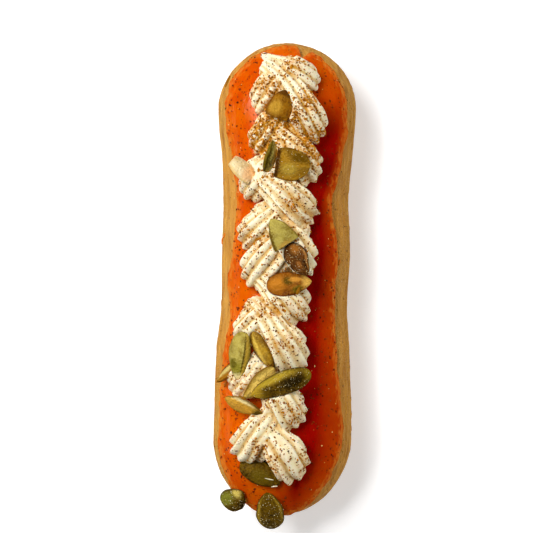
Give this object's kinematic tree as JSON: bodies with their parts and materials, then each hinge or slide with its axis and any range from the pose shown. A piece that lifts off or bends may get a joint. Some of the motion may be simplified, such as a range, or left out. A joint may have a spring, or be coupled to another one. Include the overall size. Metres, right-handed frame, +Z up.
{
  "type": "orange glazed eclair with piped cream",
  "caption": "Long choux eclair with a glossy orange glaze, a zigzag of star-piped cream along its top and pumpkin seeds on the cream.",
  "frame": {"origin": "middle of the flat base, on the plane that the eclair rests on", "axes": "+Z up, +Y along the eclair towards the end where the piping finished, +X to the right seen from above with +Y away"},
  "size_m": [0.0425, 0.1433, 0.0407],
  "materials": {
    "choux": "baked, satin",
    "glaze": "glossy",
    "cream": "soft satin",
    "dark_green": "satin",
    "sage": "satin",
    "olive": "satin",
    "brown_olive": "satin",
    "gold": "satin",
    "amber": "satin, slightly glossy",
    "roasted": "satin, slightly glossy",
    "pale": "satin"
  },
  "bodies": {
    "root": {"choux_shell": "choux", "glaze": "glaze", "piped_cream": "cream", "seed_under_cream": "dark_green", "seed_head": "brown_olive", "seed_upright": "sage", "seed_wide": "olive", "seed_pale_chip": "pale", "seed_green": "sage", "seed_amber": "amber", "seed_roasted": "roasted", "seed_sliver": "brown_olive", "seed_left": "sage", "seed_on_edge": "gold", "seed_beneath": "gold", "seed_long": "dark_green", "seed_low_left": "gold", "seed_foot_left": "dark_green", "seed_foot": "dark_green"}
  },
  "joints": []
}
